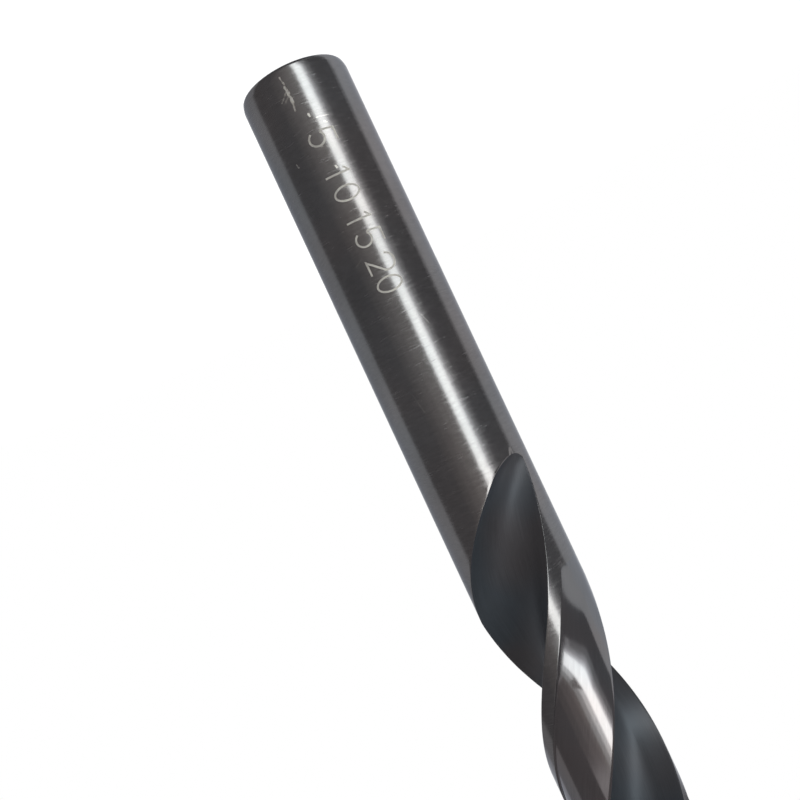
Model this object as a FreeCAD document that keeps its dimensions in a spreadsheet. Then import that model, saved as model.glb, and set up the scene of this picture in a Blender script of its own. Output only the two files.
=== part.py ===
"""Straight-shank twist drill bit: one solid of high-speed steel, two right-hand helical flutes.

The drill stands on its shank end at z = 0 and points up along +Z, with its lips parallel to X.
Lengths are in millimetres and angles in degrees.
"""
import FreeCAD, Part
import math
import os

import Sketcher

Vector = FreeCAD.Vector

# Driving dimensions: alias, value and what it measures.
SIZES = (
    ("drill_diameter", 13.9, "over the margins at the point"),
    ("back_taper", 0.04, "how much less it is where the flutes begin, and on the shank"),
    ("overall_length", 160.0, "shank end to chisel edge"),
    ("flute_length", 108.0, "chisel edge to the far end of the flutes"),
    ("shank_break_depth", 0.3, "edge break at the shank end, inwards"),
    ("shank_break_length", 0.95, "edge break at the shank end, along the axis"),
    ("helix_angle", 29.7, "between the margins and the axis"),
    ("flute_opening", 96.4, "angle that a flute takes of the circumference"),
    ("web_at_point", 2.2, "core thickness at the chisel edge"),
    ("web_at_shank", 4.1, "core thickness where the flutes reach full depth"),
    ("root_share", 0.259, "radius of the flute's bottom, as a share of the drill's diameter"),
    ("heel_share", 0.3957, "radius of the flute's wall up to the heel, as such a share"),
    ("runout_length", 19.8, "length over which the flutes rise out of the core"),
    ("runout_bearing", 41.0, "direction in which they rise, from the leading corner"),
    ("margin_opening", 15.3, "angle that a margin takes of the circumference"),
    ("clearance_depth", 0.22, "how far the land lies below the margin"),
    ("clearance_start", 66.0, "height at which the land begins to fall below it"),
    ("clearance_ramp", 10.0, "length over which it reaches that depth"),
    ("point_angle", 118.0, "full angle between the lips"),
    ("flank_half_angle", 40.0, "half angle of the cone that a flank is part of"),
    ("flank_setback", 7.0, "that cone's tip to the drill's axis, along the lip"),
    ("flank_offset", 1.1, "that cone's axis ahead of the lip"),
)

FLUTES = 2
RUNOUT_STEPS = 5
RAMP_STEPS = 3
STACKED_CUTS = 12

# Reach of the grinding wheels' paths outside the drill: three shares of its diameter,
# two lengths and two angles.
OUTER_SHARE = 0.75
FLANK_SHARE = 0.8
FLANK_REACH = 1.4
OVERRUN = 1.0
TOUCH_GAP = 0.02
HEEL_OVERLAP = 6.0
FLANK_SWEEP = 200.0

# Where a cut's straight path is first drawn, before its expressions place it.
PATH_START = 1.0
PATH_END = 11.0

# Expressions that several sketches share.
RADIUS = "Sizes.drill_diameter / 2"
SHANK_RADIUS = f"({RADIUS} - Sizes.back_taper / 2)"
ROOT_RADIUS = "(Sizes.root_share * Sizes.drill_diameter)"
HEEL_RADIUS = "(Sizes.heel_share * Sizes.drill_diameter)"
LAND_RADIUS = f"({RADIUS} - Sizes.clearance_depth)"
REACH = f"Sizes.drill_diameter * {OUTER_SHARE}"
FLUTE_END = "(Sizes.overall_length - Sizes.flute_length)"
FULL_DEPTH = f"({FLUTE_END} + Sizes.runout_length)"
RUNOUT_LIFT = f"((Sizes.drill_diameter - Sizes.web_at_shank) / 2 + {TOUCH_GAP})"
RAMP_END = "(Sizes.clearance_start + Sizes.clearance_ramp)"
TOP = f"(Sizes.overall_length + {OVERRUN})"
TURN_RATE = "(360 * tan(Sizes.helix_angle) / (pi * Sizes.drill_diameter))"
CORNER_HEIGHT = (
    "(Sizes.overall_length + Sizes.web_at_point / 4"
    " - sqrt(Sizes.drill_diameter^2 - Sizes.web_at_point^2) / 2 / tan(Sizes.point_angle / 2))"
)


def polar(radius, angle):
    """Point of the sketch plane at a radius and an angle in degrees."""
    return Vector(radius * math.cos(math.radians(angle)), radius * math.sin(math.radians(angle)), 0)


def body_radius(height):
    """Expression for the radius over the margins at a height: it grows towards the point."""
    share = f"(Sizes.overall_length - {height}) / Sizes.flute_length"
    return f"({RADIUS} - Sizes.back_taper / 2 * {share})"


def crossings(centre_a, radius_a, centre_b, radius_b):
    """The two points where two circles cross."""
    between = centre_b - centre_a
    gap = between.Length
    along = (gap * gap + radius_a * radius_a - radius_b * radius_b) / (2 * gap)
    aside = math.sqrt(radius_a * radius_a - along * along)
    axis = between / gap
    normal = Vector(-axis.y, axis.x, 0)
    middle = centre_a + axis * along
    return middle + normal * aside, middle - normal * aside


def arc(centre, radius, start, end):
    """Anticlockwise arc from start to end."""
    first = math.atan2(start.y - centre.y, start.x - centre.x)
    last = math.atan2(end.y - centre.y, end.x - centre.x)
    if last < first:
        last += 2 * math.pi
    return Part.ArcOfCircle(Part.Circle(centre, Vector(0, 0, 1), radius), first, last)


def add_polygon(sketch, corners):
    """Closed outline of straight edges, each joined to the next."""
    count = len(corners)
    for index, corner in enumerate(corners):
        sketch.addGeometry(Part.LineSegment(corner, corners[(index + 1) % count]), False)
    for index in range(count):
        sketch.addConstraint(Sketcher.Constraint("Coincident", index, 2, (index + 1) % count, 1))


def add_rules(sketch, rules):
    """Constraints that have no size."""
    for rule in rules:
        sketch.addConstraint(Sketcher.Constraint(*rule))


def add_size(sketch, kind, elements, value, expression):
    """Constraint with a size: drawn at its value, and bound to the sheet by its expression."""
    index = sketch.addConstraint(Sketcher.Constraint(kind, *elements, value))
    sketch.setExpression(f"Constraints[{index}]", expression)


def make_sheet(doc):
    """Write the driving dimensions into the sheet, one alias to a row."""
    sheet = doc.addObject("Spreadsheet::Sheet", "Sizes")
    for row, (alias, value, meaning) in enumerate(SIZES, start=1):
        sheet.set(f"A{row}", alias)
        sheet.set(f"B{row}", str(value))
        sheet.set(f"C{row}", meaning)
        sheet.setAlias(f"B{row}", alias)
    doc.recompute()
    return sheet


class DrillBody:
    """The drill's body, with the sketches and cuts that the same helix carries."""

    def __init__(self, doc, sheet):
        self.doc = doc
        self.sheet = sheet
        self.body = doc.addObject("PartDesign::Body", "Body")
        self.body.Label = "twist_drill_bit"

    def size(self, alias):
        """Value of a driving dimension."""
        return float(self.sheet.get(alias))

    def plane(self, role):
        """Origin plane of the body, by its role."""
        return next(item for item in self.body.Origin.OriginFeatures if item.Role == role)

    def sketch(self, name, role):
        """Empty sketch on an origin plane."""
        sketch = self.body.newObject("Sketcher::SketchObject", name)
        sketch.AttachmentSupport = (self.plane(role), [""])
        sketch.MapMode = "FlatFace"
        return sketch

    def place_section(self, sketch, height):
        """Lift a section to its height and turn it as far as the helix has turned there."""
        sketch.setExpression("AttachmentOffset.Base.z", height)
        corner = "asin(Sizes.web_at_point / Sizes.drill_diameter)"
        turn = f"{corner} + 1deg * {TURN_RATE} * ({height} - {CORNER_HEIGHT})"
        sketch.setExpression("AttachmentOffset.Rotation.Angle", turn)

    def blank(self):
        """Turned bar: the shank with its broken edge, and the slightly tapered body."""
        radius = self.size("drill_diameter") / 2
        shank_radius = radius - self.size("back_taper") / 2
        length = self.size("overall_length")
        flute_end = length - self.size("flute_length")
        depth = self.size("shank_break_depth")
        rise = self.size("shank_break_length")
        corners = (
            Vector(0, 0, 0),
            Vector(shank_radius - depth, 0, 0),
            Vector(shank_radius, rise, 0),
            Vector(shank_radius, flute_end, 0),
            Vector(radius, length, 0),
            Vector(0, length, 0),
        )
        sketch = self.sketch("blank_profile", "XZ_Plane")
        add_polygon(sketch, corners)
        base, bevel, shank, tapered, top, axis = range(6)
        rules = (
            ("Coincident", base, 1, -1, 1),
            ("Horizontal", base),
            ("Horizontal", top),
            ("Vertical", shank),
            ("Vertical", axis),
        )
        add_rules(sketch, rules)
        add_size(sketch, "DistanceX", (-1, 1, shank, 1), shank_radius, SHANK_RADIUS)
        add_size(sketch, "DistanceX", (-1, 1, tapered, 2), radius, RADIUS)
        add_size(sketch, "DistanceX", (bevel, 1, bevel, 2), depth, "Sizes.shank_break_depth")
        add_size(sketch, "DistanceY", (bevel, 1, bevel, 2), rise, "Sizes.shank_break_length")
        add_size(sketch, "DistanceY", (-1, 1, shank, 2), flute_end, FLUTE_END)
        add_size(sketch, "DistanceY", (axis, 2, axis, 1), length, "Sizes.overall_length")
        turned = self.body.newObject("PartDesign::Revolution", "turned_bar")
        turned.Profile = sketch
        turned.ReferenceAxis = (sketch, ["V_Axis"])
        turned.Angle = 360
        return turned

    def flute_section(self, name, height, web, lift_share):
        """Section of a flute: radial cutting face, round root and curved wall up to the heel.

        The leading corner lies on the section's own X axis. The far side is a wide arc
        outside the drill. lift_share is how far the section has risen out of the core,
        from 0 at full depth to 1 where it leaves the bar.
        """
        radius = self.size("drill_diameter") / 2
        opening = self.size("flute_opening")
        root = self.size("root_share") * self.size("drill_diameter")
        wall = self.size("heel_share") * self.size("drill_diameter")
        core = self.size("web_at_shank") / 2
        reach = self.size("drill_diameter") * OUTER_SHARE

        root_centre = Vector(math.sqrt(core * core + 2 * core * root), root, 0)
        heel = polar(radius, opening)
        wall_centre = max(crossings(root_centre, wall - root, heel, wall), key=lambda point: point.x)
        root_end = root_centre - (wall_centre - root_centre) * (root / (wall - root))
        outer_end = max(crossings(Vector(), reach, wall_centre, wall), key=lambda point: point.y)

        sketch = self.sketch(name, "XY_Plane")
        sketch.addGeometry(Part.LineSegment(Vector(reach, 0, 0), Vector(root_centre.x, 0, 0)), False)
        root_start = Vector(root_centre.x, 0, 0)
        sketch.addGeometry(arc(root_centre, root, root_end, root_start), False)
        sketch.addGeometry(arc(wall_centre, wall, outer_end, root_end), False)
        sketch.addGeometry(arc(Vector(), reach, Vector(reach, 0, 0), outer_end), False)
        sketch.addGeometry(Part.LineSegment(Vector(), heel), True)
        face, bottom, side, outside, spoke = range(5)
        rules = (
            ("PointOnObject", face, 1, -1),
            ("PointOnObject", face, 2, -1),
            ("Tangent", face, 2, bottom, 2),
            ("Tangent", bottom, 1, side, 2),
            ("Coincident", side, 1, outside, 2),
            ("Coincident", face, 1, outside, 1),
            ("Coincident", outside, 3, -1, 1),
            ("Coincident", spoke, 1, -1, 1),
            ("PointOnObject", spoke, 2, side),
        )
        add_rules(sketch, rules)
        add_size(sketch, "Radius", (bottom,), root, ROOT_RADIUS)
        add_size(sketch, "Radius", (side,), wall, HEEL_RADIUS)
        add_size(sketch, "Radius", (outside,), reach, REACH)
        add_size(sketch, "Distance", (spoke,), radius, RADIUS)
        add_size(sketch, "Angle", (spoke,), math.radians(opening), "1deg * Sizes.flute_opening")
        gap = root_centre.Length
        add_size(sketch, "Distance", (-1, 1, bottom, 3), gap, f"({web}) / 2 + {ROOT_RADIUS}")

        self.place_section(sketch, height)
        if lift_share:
            rise = f"{RUNOUT_LIFT} * {lift_share}"
            bearing = "(AttachmentOffset.Rotation.Angle + 1deg * Sizes.runout_bearing)"
            sketch.setExpression("AttachmentOffset.Base.x", f"{rise} * cos{bearing}")
            sketch.setExpression("AttachmentOffset.Base.y", f"{rise} * sin{bearing}")
        return sketch

    def land_section(self, name, height, inner):
        """Section of the ring that is ground off a land, from its margin past its heel."""
        reach = self.size("drill_diameter") * OUTER_SHARE
        radius = self.size("drill_diameter") / 2
        front = -self.size("margin_opening")
        back = self.size("flute_opening") - 180 - HEEL_OVERLAP

        sketch = self.sketch(name, "XY_Plane")
        sketch.addGeometry(arc(Vector(), radius, polar(radius, back), polar(radius, front)), False)
        sketch.addGeometry(Part.LineSegment(polar(radius, front), polar(reach, front)), False)
        sketch.addGeometry(arc(Vector(), reach, polar(reach, back), polar(reach, front)), False)
        sketch.addGeometry(Part.LineSegment(polar(radius, back), polar(reach, back)), False)
        floor, front_side, outside, back_side = range(4)
        rules = (
            ("Coincident", floor, 3, -1, 1),
            ("Coincident", outside, 3, -1, 1),
            ("Coincident", floor, 2, front_side, 1),
            ("Coincident", front_side, 2, outside, 2),
            ("Coincident", floor, 1, back_side, 1),
            ("Coincident", back_side, 2, outside, 1),
            ("PointOnObject", -1, 1, front_side),
            ("PointOnObject", -1, 1, back_side),
        )
        add_rules(sketch, rules)
        add_size(sketch, "Radius", (floor,), radius, inner)
        add_size(sketch, "Radius", (outside,), reach, REACH)
        add_size(sketch, "Angle", (front_side,), math.radians(front), "-1deg * Sizes.margin_opening")
        past_heel = f"1deg * (Sizes.flute_opening - 180 - {HEEL_OVERLAP})"
        add_size(sketch, "Angle", (back_side,), math.radians(back), past_heel)
        self.place_section(sketch, height)
        return sketch

    def helical_cut(self, name, low, high, sections):
        """Cut that carries its sections up the axis while a guide helix turns them."""
        spine = self.sketch(f"{name}_path", "XZ_Plane")
        spine.addGeometry(Part.LineSegment(Vector(0, PATH_START, 0), Vector(0, PATH_END, 0)), False)
        spine.addConstraint(Sketcher.Constraint("Vertical", 0))
        spine.addConstraint(Sketcher.Constraint("PointOnObject", 0, 1, -2))
        add_size(spine, "DistanceY", (-1, 1, 0, 1), PATH_START, low)
        add_size(spine, "DistanceY", (0, 1, 0, 2), PATH_END - PATH_START, f"{high} - {low}")
        guide = self.doc.addObject("Part::Helix", f"{name}_guide")
        guide.setExpression("Pitch", f"360 / {TURN_RATE}")
        guide.setExpression("Height", f"{high} - {low}")
        guide.setExpression("Radius", "Sizes.drill_diameter")
        guide.setExpression("Placement.Base.z", low)
        self.doc.recompute()

        cut = self.body.newObject("PartDesign::SubtractivePipe", name)
        cut.Profile = sections[0]
        cut.Sections = [(section, [""]) for section in sections[1:]]
        cut.Transformation = "Multisection"
        cut.Spine = (spine, ["Edge1"])
        cut.Mode = "Auxiliary"
        cut.AuxiliarySpine = (guide, [f"Edge{n + 1}" for n in range(len(guide.Shape.Edges))])
        cut.AuxiliaryCurvilinear = True
        self.doc.recompute()
        return cut

    def stacked_cuts(self, name, low, high, section):
        """Helical cuts one above the other from low to high, each well under a whole turn.

        section is a function that draws the cut's section, given its name and its height.
        """
        heights = [f"({low} + ({high} - {low}) * {step / STACKED_CUTS})" for step in range(STACKED_CUTS + 1)]
        sections = [section(f"{name}_section_{step}", height) for step, height in enumerate(heights)]
        return [
            self.helical_cut(f"{name}_{step}", *heights[step:step + 2], sections[step:step + 2])
            for step in range(STACKED_CUTS)
        ]

    def runout_cut(self):
        """Run-out of a flute: its section rises out of the core on a curve, towards the shank."""
        sections = []
        for step in range(RUNOUT_STEPS + 1):
            share = step / RUNOUT_STEPS
            height = f"({FLUTE_END} + Sizes.runout_length * {share})"
            lift_share = (1 - share) ** 2
            name = f"runout_section_{step}"
            sections.append(self.flute_section(name, height, "Sizes.web_at_shank", lift_share))
        return self.helical_cut("flute_runout", FLUTE_END, FULL_DEPTH, sections)

    def deep_section(self, name, height):
        """Section of a flute at full depth, where the web grows evenly towards the shank."""
        share = f"({height} - {FULL_DEPTH}) / (Sizes.overall_length - {FULL_DEPTH})"
        web = f"(Sizes.web_at_shank + (Sizes.web_at_point - Sizes.web_at_shank) * {share})"
        return self.flute_section(name, height, web, 0)

    def ramp_cut(self):
        """Ramp on which a land falls away from the bar, behind its margin."""
        outermost = f"({body_radius('Sizes.clearance_start')} + {TOUCH_GAP})"
        sections = []
        for step in range(RAMP_STEPS + 1):
            share = step / RAMP_STEPS
            height = f"(Sizes.clearance_start + Sizes.clearance_ramp * {share})"
            above = (1 - share) ** 2
            inner = f"{LAND_RADIUS} + ({outermost} - {LAND_RADIUS}) * {above}"
            sections.append(self.land_section(f"ramp_section_{step}", height, inner))
        return self.helical_cut("land_ramp", "Sizes.clearance_start", RAMP_END, sections)

    def cleared_section(self, name, height):
        """Section of the clearance at full depth."""
        return self.land_section(name, height, LAND_RADIUS)

    def flank_cut(self):
        """Flank behind a lip: part of a cone whose axis leans and stands ahead of the lip.

        The two cones meet in the chisel edge, whose middle lies at the overall length.
        """
        half_point = self.size("point_angle") / 2
        lean = half_point - self.size("flank_half_angle")
        setback = self.size("flank_setback")
        reach = self.size("drill_diameter") * FLANK_REACH
        depth = self.size("drill_diameter") * FLANK_SHARE

        # Height of the cone's tip: at the drill's axis the cone is as high as the chisel edge.
        across = "(Sizes.flank_setback * sin(Sizes.point_angle / 2))"
        aside = "(Sizes.web_at_point / 2 + Sizes.flank_offset)"
        lean_angle = "(Sizes.point_angle / 2 - Sizes.flank_half_angle)"
        opening = "cos(Sizes.flank_half_angle)^2"
        square = f"(cos{lean_angle}^2 - {opening})"
        linear = f"({across} * sin(2 * {lean_angle}))"
        constant = f"({across}^2 * sin{lean_angle}^2 - {opening} * ({across}^2 + {aside}^2))"
        drop = f"(sqrt({linear}^2 - 4 * {square} * {constant}) - {linear}) / (2 * {square})"

        along = Vector(math.sin(math.radians(half_point)), -math.cos(math.radians(half_point)), 0)
        outward = Vector(-along.y, along.x, 0)
        tip = Vector(-setback * along.x, self.size("overall_length") + self.size("web_at_point"), 0)
        corners = (tip, tip + along * reach, tip + along * reach + outward * depth, tip + outward * depth)
        sketch = self.sketch("flank_profile", "XZ_Plane")
        sketch.setExpression("AttachmentOffset.Base.z", f"-{aside}")
        add_polygon(sketch, corners)
        leaning = Vector(math.sin(math.radians(lean)), -math.cos(math.radians(lean)), 0)
        sketch.addGeometry(Part.LineSegment(tip, tip + leaning * reach), True)
        generator, far_side, back, near_side, cone_axis = range(5)
        sketch.addConstraint(Sketcher.Constraint("Perpendicular", generator, far_side))
        sketch.addConstraint(Sketcher.Constraint("Perpendicular", generator, near_side))
        sketch.addConstraint(Sketcher.Constraint("Parallel", generator, back))
        sketch.addConstraint(Sketcher.Constraint("Coincident", cone_axis, 1, generator, 1))
        add_size(sketch, "DistanceX", (generator, 1, -1, 1), setback * along.x, across)
        add_size(sketch, "DistanceY", (-1, 1, generator, 1), tip.y, f"Sizes.overall_length + {drop}")
        slope = math.radians(half_point - 90)
        add_size(sketch, "Angle", (generator,), slope, "1deg * (Sizes.point_angle / 2 - 90)")
        slope = math.radians(lean - 90)
        add_size(sketch, "Angle", (cone_axis,), slope, f"1deg * ({lean_angle} - 90)")
        add_size(sketch, "Distance", (generator,), reach, f"Sizes.drill_diameter * {FLANK_REACH}")
        add_size(sketch, "Distance", (far_side,), depth, f"Sizes.drill_diameter * {FLANK_SHARE}")
        add_size(sketch, "Distance", (cone_axis,), reach, f"Sizes.drill_diameter * {FLANK_REACH}")
        ground = self.body.newObject("PartDesign::Groove", "flank")
        ground.Profile = sketch
        ground.ReferenceAxis = (sketch, ["Axis0"])
        ground.Angle = FLANK_SWEEP
        ground.Midplane = True
        return ground

    def build(self):
        """All cuts, once for each flute."""
        self.blank()
        cuts = [self.runout_cut()]
        cuts += self.stacked_cuts("flute", FULL_DEPTH, TOP, self.deep_section)
        cuts.append(self.ramp_cut())
        cuts += self.stacked_cuts("clearance", RAMP_END, TOP, self.cleared_section)
        cuts.append(self.flank_cut())
        self.doc.recompute()
        pattern = self.body.newObject("PartDesign::PolarPattern", "both_flutes")
        pattern.Originals = cuts
        pattern.Axis = (self.plane("Z_Axis"), [""])
        pattern.Angle = 360
        pattern.Occurrences = FLUTES
        self.body.Tip = pattern
        self.doc.recompute()


def check(doc, bodies):
    """Stop if any object failed, or if a sub-part has no sound solid."""
    for item in doc.Objects:
        if {"Invalid", "Error"} & set(item.State):
            raise RuntimeError(f"{item.Label} did not recompute: {item.State}")
    for body in bodies:
        shape = body.Shape
        if shape.isNull() or not shape.isValid() or len(shape.Solids) != 1:
            raise RuntimeError(f"{body.Label} is not one valid solid")


doc = FreeCAD.newDocument("TwistDrillBit")
drill = DrillBody(doc, make_sheet(doc))
drill.build()
check(doc, [drill.body])

os.makedirs("parts", exist_ok=True)
drill.body.Shape.exportStep(f"parts/{drill.body.Label}.step")
print(f"{drill.body.Label}: {drill.body.Shape.Volume:.1f} cubic millimetres")
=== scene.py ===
"""Looks of a straight-shank twist drill bit of dark ground high-speed steel.

The drill stands on its shank end at z = 0 with its point up, and the camera looks at its shank
and at the place where the flutes run out. Sizes in the drill's classes are in millimetres and
degrees, those of the studio are in metres and degrees, and all finished meshes are in metres.
"""
import logging
import math
from collections.abc import Callable
from dataclasses import dataclass, field
from enum import Enum

import bmesh
import bpy
from mathutils import Matrix, Vector

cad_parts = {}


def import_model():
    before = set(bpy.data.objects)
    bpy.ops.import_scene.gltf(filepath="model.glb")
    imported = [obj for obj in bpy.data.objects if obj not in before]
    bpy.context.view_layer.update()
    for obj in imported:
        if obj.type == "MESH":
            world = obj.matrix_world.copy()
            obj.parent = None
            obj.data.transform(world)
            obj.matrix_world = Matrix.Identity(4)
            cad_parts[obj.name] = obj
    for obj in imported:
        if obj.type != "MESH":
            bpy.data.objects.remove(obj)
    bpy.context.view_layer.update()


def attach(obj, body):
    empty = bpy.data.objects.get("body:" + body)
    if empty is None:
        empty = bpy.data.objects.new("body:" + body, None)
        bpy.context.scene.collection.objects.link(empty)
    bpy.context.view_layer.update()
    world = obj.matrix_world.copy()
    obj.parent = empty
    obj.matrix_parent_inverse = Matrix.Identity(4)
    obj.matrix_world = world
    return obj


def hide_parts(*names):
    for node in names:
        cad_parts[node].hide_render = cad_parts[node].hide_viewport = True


LOG = logging.getLogger("twist_drill_bit")
MM = 0.001
NODE = "twist_drill_bit"
BODY = "root"
LINES_MAP = "grinding"

LENGTH = 160.0
RADIUS = 6.95
FLUTE_START = 52.0
WEB_AT_POINT = 2.2
HALF_POINT = 59.0
VIEW_AZIMUTH = -33.72
STRIP_TOP = 0.235

BISECT_ROUNDS = 36
SEARCH_ROUNDS = 48

Point = tuple[float, float]
Triple = tuple[float, float, float]
Colour = tuple[float, float, float]
Socket = bpy.types.NodeSocket
Input = float | Triple | Socket


class Zone(Enum):
    """Grinding that each part of the drill's surface shows, and its place in the material list."""

    SHANK = 0
    FLUTE = 1
    LAND = 2
    FLANK = 3
    END = 4


def polar(radius: float, angle: float) -> Point:
    """Point at a radius and an angle in radians."""
    return radius * math.cos(angle), radius * math.sin(angle)


def bisect(inside: float, outside: float, holds: Callable[[float], bool]) -> float:
    """Border of the stretch on which a test holds.

    Args:
        inside: A value for which the test holds.
        outside: A value for which it doesn't.
        holds: The test, a function of the value.

    Returns:
        The value between them at which the test stops holding.
    """
    for _ in range(BISECT_ROUNDS):
        middle = (inside + outside) / 2
        if holds(middle):
            inside = middle
        else:
            outside = middle
    return (inside + outside) / 2


@dataclass(frozen=True)
class Helix:
    """Helix that flutes, margins and lands follow, right-hand and fixed at the lip's corner."""

    diameter: float = 2 * RADIUS
    length: float = LENGTH
    angle: float = 29.7
    web: float = WEB_AT_POINT
    half_point: float = HALF_POINT

    @property
    def rate(self) -> float:
        """Turn in radians for each millimetre of height."""
        return 2 * math.tan(math.radians(self.angle)) / self.diameter

    def turn(self, height: float) -> float:
        """Direction of the first leading corner.

        Args:
            height: Height of the section.

        Returns:
            Its angle about the drill's axis, in radians.
        """
        lip = math.sqrt(self.diameter**2 - self.web**2) / 2
        corner = self.length + self.web / 4 - lip / math.tan(math.radians(self.half_point))
        return math.asin(self.web / self.diameter) + self.rate * (height - corner)


@dataclass(frozen=True)
class FluteForm:
    """Section of a flute: a radial cutting face, a round bottom and a curved wall to the heel."""

    radius: float = RADIUS
    start: float = FLUTE_START
    full_depth: float = 71.8
    length: float = LENGTH
    web_at_shank: float = 4.1
    web_at_point: float = WEB_AT_POINT
    root: float = 3.6
    wall: float = 5.5
    opening: float = 96.4
    bearing: float = 41.0
    lift: float = 4.92
    end_lift: float = 0.45
    end_length: float = 1.6
    reach: float = 12.0
    wall_sweep: float = 2.6

    def rise(self, height: float) -> Point:
        """How far the section has moved out of the core where the flute runs out.

        Args:
            height: Height of the section.

        Returns:
            The move across the drill.
        """
        share = min(1.0, (height - self.start) / (self.full_depth - self.start))
        end = max(0.0, 1 - (height - self.start) / self.end_length)
        lift = self.lift * (1 - share) ** 2 + self.end_lift * end**2
        return polar(lift, math.radians(self.bearing))

    def centres(self, height: float) -> tuple[Point, Point]:
        """Centres of the section's round bottom and of its curved wall, before it rises.

        Args:
            height: Height of the section, which sets how thick the core is.

        Returns:
            The centre of the bottom and the centre of the wall.
        """
        share = max(0.0, (height - self.full_depth) / (self.length - self.full_depth))
        core = (self.web_at_shank + (self.web_at_point - self.web_at_shank) * share) / 2
        bottom = math.sqrt(core * core + 2 * core * self.root), self.root
        heel = polar(self.radius, math.radians(self.opening))
        across, up = heel[0] - bottom[0], heel[1] - bottom[1]
        gap = math.hypot(across, up)
        across, up = across / gap, up / gap
        inner = self.wall - self.root
        along = (gap * gap + inner**2 - self.wall**2) / (2 * gap)
        aside = math.sqrt(inner**2 - along**2)
        sides = [
            (bottom[0] + across * along - up * side, bottom[1] + up * along + across * side)
            for side in (aside, -aside)
        ]
        return bottom, max(sides)

    def outline(self, height: float) -> tuple[Callable[[float], Point], float, float, float]:
        """The section as a path from outside the drill, down the face and up the wall.

        Args:
            height: Height of the section.

        Returns:
            A function from the distance along the path to its point, the distances at which
            the bottom begins and ends, and the distance of the path's end.
        """
        (bottom_x, bottom_y), (wall_x, wall_y) = self.centres(height)
        rise_x, rise_y = self.rise(height)
        join = math.atan2(bottom_y - wall_y, bottom_x - wall_x)
        if join > -math.pi / 2:
            join -= 2 * math.pi
        face_end = self.reach - bottom_x
        root_end = face_end + self.root * (-math.pi / 2 - join)

        def at(distance: float) -> Point:
            """Point of the path.

            Args:
                distance: How far along the path it lies.

            Returns:
                The point, across the drill from its axis.
            """
            if distance < face_end:
                return self.reach - distance + rise_x, rise_y
            if distance < root_end:
                step = polar(self.root, -math.pi / 2 - (distance - face_end) / self.root)
                return bottom_x + step[0] + rise_x, bottom_y + step[1] + rise_y
            step = polar(self.wall, join - (distance - root_end) / self.wall)
            return wall_x + step[0] + rise_x, wall_y + step[1] + rise_y

        return at, face_end, root_end, root_end + self.wall * self.wall_sweep


@dataclass(frozen=True)
class PointGrind:
    """The two flanks of the point, each part of a cone that leans and stands ahead of the lip."""

    length: float = LENGTH
    half_point: float = HALF_POINT
    half_cone: float = 40.0
    setback: float = 7.0
    ahead: float = 2.2

    def cone(self, x: float, y: float) -> float:
        """Height of the first flank over a place.

        Args:
            x: How far the place lies out along the lips.
            y: How far it lies across them.

        Returns:
            The height, measured from the tip of the flank's cone.
        """
        lean = math.radians(self.half_point - self.half_cone)
        square = math.cos(math.radians(self.half_cone)) ** 2
        out = x + self.setback * math.sin(math.radians(self.half_point))
        along = math.sin(lean) * out
        across = out**2 + (y - self.ahead) ** 2
        lead = math.cos(lean) ** 2 - square
        inner = (along * math.cos(lean)) ** 2 - lead * (along**2 - square * across)
        return (along * math.cos(lean) - math.sqrt(max(inner, 0.0))) / lead

    def side(self, x: float, y: float) -> float:
        """Side of the chisel edge on which a place lies.

        Args:
            x: How far the place lies out along the lips.
            y: How far it lies across them.

        Returns:
            A number above zero on the first flank's side and below zero on the other's.
        """
        step = 0.01
        slope_x = self.cone(step, 0) - self.cone(-step, 0)
        slope_y = self.cone(0, step) - self.cone(0, -step)
        return -(slope_x * x + slope_y * y)

    def height(self, x: float, y: float, on_chisel: bool = False) -> float:
        """Height of the point's surface over a place.

        Args:
            x: How far the place lies out along the lips.
            y: How far it lies across them.
            on_chisel: Whether it is on the chisel edge, where the mean of both flanks is taken.

        Returns:
            The height above the shank end.
        """
        if on_chisel:
            return self.length + (self.cone(x, y) + self.cone(-x, -y)) / 2 - self.cone(0, 0)
        sign = 1 if self.side(x, y) >= 0 else -1
        return self.length + self.cone(sign * x, sign * y) - self.cone(0, 0)


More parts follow.
